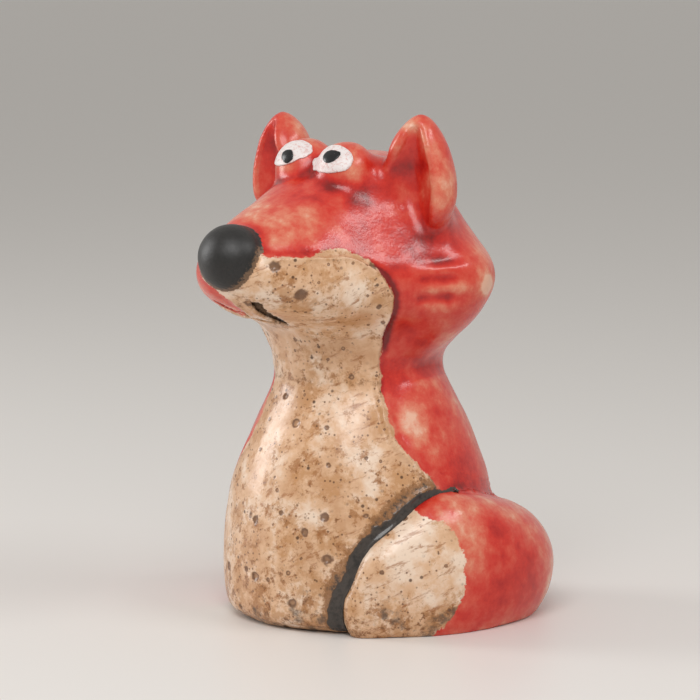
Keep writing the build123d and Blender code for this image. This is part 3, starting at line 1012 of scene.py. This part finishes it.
# The size of a smudge, the noise at which it starts and is full, and its colour.
SMUDGES = [(3.4, 0.49, 0.6, "#bd8a5a"), (2.0, 0.545, 0.62, "#9f6836"), (1.0, 0.6, 0.68, "#6f4426")]
STREAK_TILT = math.radians(24)
STREAK_FACING = math.radians(-36)
STREAK_SIZES = (5.0, 1.0, 0.9)


def tinted(tree, clay, code, where, least, most, strength):
    """The clay with a tint laid on it, from nothing at the least value to its full strength at the most."""
    limits = {"Value": where, "From Min": least, "From Max": most, "To Max": strength}
    share = add(tree, "ShaderNodeMapRange", limits, interpolation_type="SMOOTHSTEP")
    return add(tree, "ShaderNodeMix", {0: share, 6: clay, 7: colour(code)}, out=2, data_type="RGBA")


def wiped_clay(tree, place):
    """Pale clay with smudges and streaks of brown oxide, more of it low down, and paler up the tail tip,
    partly as painted light.
    """
    sizes = {"Vector": place, "Scale": 1 / CLAY_TONES, "Detail": 5.0, "Roughness": 0.62}
    tone = add(tree, "ShaderNodeTexNoise", sizes)
    # The clay is lightened towards the top of the tail tip, with fewer smudges there. This is partly painted
    # light.
    paler_top = add(tree, "ShaderNodeAttribute", out="Fac", attribute_name="paler_top")
    tone = add(tree, "ShaderNodeMath", {0: tone, 1: paler_top}, operation="ADD")
    clay = add(tree, "ShaderNodeValToRGB", {"Fac": tone}, stops=CLAY_STOPS)

    height = add(tree, "ShaderNodeSeparateXYZ", {"Vector": place}, out="Z")
    low = {"Value": height, "From Min": 16.0, "From Max": 1.0, "To Max": 0.06}
    smudge_shift = add(tree, "ShaderNodeMapRange", low)
    smudge_shift = add(tree, "ShaderNodeMath", {0: smudge_shift, 1: paler_top}, operation="SUBTRACT")
    for size, least, most, code in SMUDGES:
        sizes = {"Vector": place, "Scale": 1 / size, "Detail": 9.0, "Roughness": 0.74}
        smudge = add(tree, "ShaderNodeTexNoise", sizes)
        smudge = add(tree, "ShaderNodeMath", {0: smudge, 1: smudge_shift}, operation="ADD")
        clay = tinted(tree, clay, code, smudge, least, most, 0.75)

    turn = Matrix.Rotation(STREAK_TILT, 3, "Y") @ Matrix.Rotation(STREAK_FACING, 3, "Z")
    turned = add(tree, "ShaderNodeMapping", {"Vector": place, "Rotation": turn.to_euler()})
    shares = [1 / size for size in STREAK_SIZES]
    along = add(tree, "ShaderNodeVectorMath", {0: turned, 1: shares}, operation="MULTIPLY")
    sizes = {"Vector": along, "Scale": 1.0, "Detail": 6.0, "Roughness": 0.7}
    streak = add(tree, "ShaderNodeTexNoise", sizes)
    return tinted(tree, clay, "#9c6234", streak, 0.55, 0.66, 0.7)


# %% [markdown]
# Specks of burnt grit, a fifth of a millimetre across and up, come in crowds. A Voronoi texture gives one dot
# a cell, its random colour decides which cells have one, and a slow noise makes the crowds. The pits that are
# dents in the mesh are filled with oxide here, some with a paler floor.

# %% Cream clay: specks and pits
SPECK_CROWDS = 3.5
# The size of a cell, of the dot as a share of it, the share of cells without one, and the colour.
SPECKS = [(0.6, 0.3, 0.5, "#5e3a20"), (1.5, 0.19, 0.35, "#452a18")]


def pitted_clay(tree, place):
    """The wiped clay with specks, and with oxide in its pits."""
    clay = wiped_clay(tree, place)
    crowd = add(tree, "ShaderNodeTexNoise", {"Vector": place, "Scale": 1 / SPECK_CROWDS, "Detail": 3.0})
    limits = {"Value": crowd, "From Min": 0.42, "From Max": 0.58, "To Min": 0.15}
    crowd = add(tree, "ShaderNodeMapRange", limits, interpolation_type="SMOOTHSTEP")
    for cell, size, rare, code in SPECKS:
        grit = add(tree, "ShaderNodeTexVoronoi", {"Vector": place, "Scale": 1 / cell}, out="Distance")
        which = add(tree, "ShaderNodeTexVoronoi", {"Vector": place, "Scale": 1 / cell}, out="Color")
        draw = add(tree, "ShaderNodeSeparateColor", {"Color": which})
        some = add(tree, "ShaderNodeMath", {0: draw, 1: rare}, operation="GREATER_THAN")
        limits = {"Value": grit, "From Min": size, "From Max": size / 2, "To Max": 0.85}
        dot = add(tree, "ShaderNodeMapRange", limits, interpolation_type="SMOOTHSTEP")
        dot = add(tree, "ShaderNodeMath", {0: dot, 1: some}, operation="MULTIPLY")
        dot = add(tree, "ShaderNodeMath", {0: dot, 1: crowd}, operation="MULTIPLY")
        clay = add(tree, "ShaderNodeMix", {0: dot, 6: clay, 7: colour(code)}, out=2, data_type="RGBA")

    pit_at = add(tree, "ShaderNodeAttribute", out="Fac", attribute_name="pit")
    tone = add(tree, "ShaderNodeAttribute", out="Fac", attribute_name="pit_tone")
    clay = tinted(tree, clay, "#66422a", pit_at, 1.3, 0.85, 0.85)
    limits = {"Value": pit_at, "From Min": 0.75, "From Max": 0.35}
    pale = add(tree, "ShaderNodeMapRange", limits, interpolation_type="SMOOTHSTEP")
    pale = add(tree, "ShaderNodeMath", {0: pale, 1: tone}, operation="MULTIPLY")
    return add(tree, "ShaderNodeMix", {0: pale, 6: clay, 7: colour("#b98d68")}, out=2, data_type="RGBA")


# %% [markdown]
# Stains: grey-brown patches that grow towards the bottom, dark oxide in hollows and in the mouth slits, and a
# sooty bleed beside the crease and round the neck. The marks on the mesh say where they are, and a grain
# breaks up their edges, because a clean edge would look painted on.

# %% Cream clay: stains
GREYING_SIZE = 3.2
SOOT_GRAIN = 0.9
# The mark on the mesh, and the values at which its stain starts and is full.
HOLLOWS = [("recess", 0.1, 0.3), ("slit", 0.3, 0.75)]
# The colour of the bleed, and where it starts.
SOOT = [("#8d6038", -1.0), ("#3f3630", -1.8)]
SOOT_EDGE = 0.7


def stained_clay(tree, place):
    """The pitted clay, darker towards the bottom, with dark hollows and slits, and soot beside the crease."""
    clay = pitted_clay(tree, place)
    # Grey-brown patches, more of them towards the bottom.
    height = add(tree, "ShaderNodeSeparateXYZ", {"Vector": place}, out="Z")
    limits = {"Value": height, "From Min": 6.5, "From Max": 0.5, "To Max": 0.17}
    low = add(tree, "ShaderNodeMapRange", limits)
    sizes = {"Vector": place, "Scale": 1 / GREYING_SIZE, "Detail": 8.0, "Roughness": 0.7}
    greying = add(tree, "ShaderNodeTexNoise", sizes)
    greying = add(tree, "ShaderNodeMath", {0: greying, 1: low}, operation="ADD")
    clay = tinted(tree, clay, "#54453a", greying, 0.64, 0.78, 0.8)

    for mark, least, most in HOLLOWS:
        deep = add(tree, "ShaderNodeAttribute", out="Fac", attribute_name=mark)
        clay = tinted(tree, clay, "#2c1d14", deep, least, most, 0.92)

    crease = add(tree, "ShaderNodeAttribute", out="Fac", attribute_name="crease")
    sizes = {"Vector": place, "Scale": 1 / SOOT_GRAIN, "Detail": 9.0, "Roughness": 0.8}
    grain = add(tree, "ShaderNodeTexNoise", sizes)
    off = add(tree, "ShaderNodeMath", {0: grain, 1: -4.2, 2: crease}, operation="MULTIPLY_ADD")
    for code, start in SOOT:
        clay = tinted(tree, clay, code, off, start, start - SOOT_EDGE, 0.9)
    return clay


# %% [markdown]
# Glazed earthenware: one material holds both coats, because they meet in an uneven line that wanders over the
# pieces, and the clear glaze over the cream is as glossy as the red. Fired glaze has a faint orange-peel
# grain, which spreads the highlights, and it is too fine to show as anything else.

# %% Glazed earthenware
COAT_EDGE_GRAIN = 0.9
GLAZE_ROUGHNESS = 0.26
GLAZE_IOR = 1.52
PEEL_SIZE = 0.4
PEEL_WAVES = 1.6
PEEL_HEIGHT = 0.05


def glazed_earthenware():
    """Red glaze and cream clay in one material, by the distance inside the cream."""
    material, tree, shader, place = new_material("glazed_earthenware")
    bare = add(tree, "ShaderNodeAttribute", out="Fac", attribute_name="bare")
    sizes = {"Vector": place, "Scale": 1 / COAT_EDGE_GRAIN, "Detail": 6.0, "Roughness": 0.75}
    ragged = add(tree, "ShaderNodeTexNoise", sizes)
    edge = add(tree, "ShaderNodeMath", {0: ragged, 1: 1.4, 2: bare}, operation="MULTIPLY_ADD")
    limits = {"Value": edge, "From Min": 0.62, "From Max": 0.82}
    cream = add(tree, "ShaderNodeMapRange", limits, interpolation_type="SMOOTHSTEP")
    inputs = {0: cream, 6: red_glaze(tree, place), 7: stained_clay(tree, place)}
    both = add(tree, "ShaderNodeMix", inputs, out=2, data_type="RGBA")
    tree.links.new(both, shader.inputs["Base Color"])
    shader.inputs["Roughness"].default_value = GLAZE_ROUGHNESS
    shader.inputs["IOR"].default_value = GLAZE_IOR
    peel = add(tree, "ShaderNodeTexNoise", {"Vector": place, "Scale": 1 / PEEL_SIZE, "Detail": 3.0})
    waves = add(tree, "ShaderNodeTexNoise", {"Vector": place, "Scale": 1 / PEEL_WAVES, "Detail": 3.0})
    grain = add(tree, "ShaderNodeMath", {0: waves, 1: 1.6, 2: peel}, operation="MULTIPLY_ADD")
    depth = {"Height": grain, "Strength": 0.35, "Distance": PEEL_HEIGHT * METRES}
    tree.links.new(add(tree, "ShaderNodeBump", depth), shader.inputs["Normal"])
    return material


earthenware = glazed_earthenware()
for name in [*FIGURE, *TAIL]:
    if name != "nose":
        pieces[name].data.materials.append(earthenware)
print("material:", earthenware.name)

# %% [markdown]
# The small coats: matte black slip on the nose, rubbed through to the brown clay where it meets the face;
# white enamel with pinkish specks of the red below; glossy black enamel; and the dark glaze in the crease,
# which is almost black where it is deep and brown and grainy at its edge.

# %% Nose slip, enamels and dark glaze
COAT_GRAIN_HEIGHT = 0.1


def speckled_coat(name, light, dark, grain, roughness, bumps, edge=None, darkest=0.36):
    """A coat with a fine change of colour and a little grain, worn to another colour at its edge."""
    material, tree, shader, place = new_material(name)
    sizes = {"Vector": place, "Scale": 1 / grain, "Detail": 6.0, "Roughness": 0.7}
    mix = add(tree, "ShaderNodeTexNoise", sizes)
    tint = add(tree, "ShaderNodeValToRGB", {"Fac": mix}, stops=[(darkest, dark), (darkest + 0.2, light)])
    if edge:
        mark, least, most, code = edge
        worn = add(tree, "ShaderNodeAttribute", out="Fac", attribute_name=mark)
        worn = add(tree, "ShaderNodeMath", {0: mix, 1: 1.5, 2: worn}, operation="MULTIPLY_ADD")
        tint = tinted(tree, tint, code, worn, least, most, 0.85)
    tree.links.new(tint, shader.inputs["Base Color"])
    shader.inputs["Roughness"].default_value = roughness
    depth = {"Height": mix, "Strength": bumps, "Distance": COAT_GRAIN_HEIGHT * METRES}
    tree.links.new(add(tree, "ShaderNodeBump", depth), shader.inputs["Normal"])
    return material


RUBBED_NOSE = ("worn", 1.4, 1.7, "#7d5f46")
GRAINY_EDGE = ("depth", 1.05, 0.6, "#5c432e")
coats = {
    "nose": speckled_coat("matte_black_slip", "#201e1d", "#161514", 0.4, 0.42, 0.4, RUBBED_NOSE),
    "left_eye_white": speckled_coat("white_enamel", "#e8e0de", "#d0968e", 0.4, 0.4, 0.3, darkest=0.3),
    "left_pupil": speckled_coat("black_enamel", "#121216", "#0b0b0d", 0.5, 0.25, 0.1),
    POOL: speckled_coat("dark_oxide_glaze", "#423b36", "#292522", 0.9, 0.18, 0.2, GRAINY_EDGE),
}
coats["right_eye_white"] = coats["left_eye_white"]
coats["right_pupil"] = coats["left_pupil"]
for name, material in coats.items():
    pieces[name].data.materials.append(material)
print("coats:", sorted({m.name for m in coats.values()}))

# %% [markdown]
# The picture was taken from the fox's left front, a little above the table, with a long lens. The camera
# stands at that angle, turned to look level along it, and raised and moved sideways so that the figure falls
# where it does in the picture.

# %% Camera
AZIMUTH = math.radians(36)
ELEVATION = math.radians(8)
CAMERA_DISTANCE = 450
CAMERA_RISE = 33.2
CAMERA_SIDE = -1.42
LENS = 179.1
SENSOR = 36
NEAREST_SEEN = 0.01

right = Vector((math.cos(AZIMUTH), math.sin(AZIMUTH), 0))
level = Vector((math.sin(AZIMUTH), -math.cos(AZIMUTH), 0))
toward = level * math.cos(ELEVATION) + Vector((0, 0, math.sin(ELEVATION)))
up = toward.cross(right)
camera = bpy.data.objects.new("camera", bpy.data.cameras.new("camera"))
bpy.context.scene.collection.objects.link(camera)
camera.matrix_world = Matrix((right, up, toward)).transposed().to_4x4()
camera.location = (toward * CAMERA_DISTANCE + up * CAMERA_RISE + right * CAMERA_SIDE) * METRES
camera.data.lens = LENS
camera.data.sensor_width = SENSOR
camera.data.clip_start = NEAREST_SEEN
bpy.context.scene.camera = camera
print("camera at mm:", [round(x / METRES) for x in camera.location])

# %% [markdown]
# A pale, slightly shiny table. It is one large square, because its edge lies far outside the picture, and it
# belongs to the stage and not to the object.

# %% Table
TABLE_SIZE = 3.0
TABLE_ROUGHNESS = 0.45

table_mesh = bpy.data.meshes.new("table")
table_shape = bmesh.new()
bmesh.ops.create_grid(table_shape, x_segments=1, y_segments=1, size=TABLE_SIZE)
table_shape.to_mesh(table_mesh)
table_shape.free()
table = bpy.data.objects.new("table", table_mesh)
bpy.context.scene.collection.objects.link(table)
table_material, _, table_shader, _ = new_material("pale_table")
table_shader.inputs["Base Color"].default_value = colour("#e6e2de")
table_shader.inputs["Roughness"].default_value = TABLE_ROUGHNESS
table_mesh.materials.append(table_material)
print("table:", TABLE_SIZE * 2, "m across")

# %% [markdown]
# Three lamps: a broad one in front and overhead, a tall window at the left, which gives the upright
# highlight on the chest, and a long softbox high on the right, which gives the one along the cheek. They
# are area lamps, because a glossy pot mirrors the shape of what lights it.

# %% Light
# The lamp, its place, width and height in millimetres, and its power in watts.
LAMPS = [
    ("overhead", (140, -270, 330), 220, 220, 0.85),
    ("window", (-350, -140, 150), 120, 220, 0.6),
    ("softbox", (310, 45, 340), 230, 18, 0.4),
]
AIM = Vector((0, 0, 32))
for name, place, wide, tall, power in LAMPS:
    light = bpy.data.lights.new(name, "AREA")
    light.energy = power
    light.shape = "RECTANGLE"
    light.size = wide * METRES
    light.size_y = tall * METRES
    lamp = bpy.data.objects.new(name, light)
    lamp.location = Vector(place) * METRES
    lamp.rotation_euler = (AIM - Vector(place)).to_track_quat("-Z", "Y").to_euler()
    bpy.context.scene.collection.objects.link(lamp)
print("lamps:", [name for name, *_ in LAMPS])

# %% [markdown]
# The room lights the pot from all sides. It is paler where the camera or a reflection sees it, so that the
# background is light while the colours on the pot come out as they are written.

# %% Room
world = bpy.data.worlds.new("soft_room")
world.use_nodes = True
bpy.context.scene.world = world
room = world.node_tree
backdrop = room.nodes["Background"]
seen = 0.0
for kind in ("Is Camera Ray", "Is Glossy Ray", "Is Transmission Ray"):
    ray = add(room, "ShaderNodeLightPath", out=kind)
    seen = add(room, "ShaderNodeMath", {0: seen, 1: ray}, operation="MAXIMUM")
shades = {0: seen, 6: colour("#aaa8a5"), 7: colour("#c9c7c3")}
room.links.new(add(room, "ShaderNodeMix", shades, out=2, data_type="RGBA"), backdrop.inputs["Color"])
backdrop.inputs["Strength"].default_value = 1.0
bpy.context.scene.view_settings.view_transform = "Standard"
print("world:", world.name)
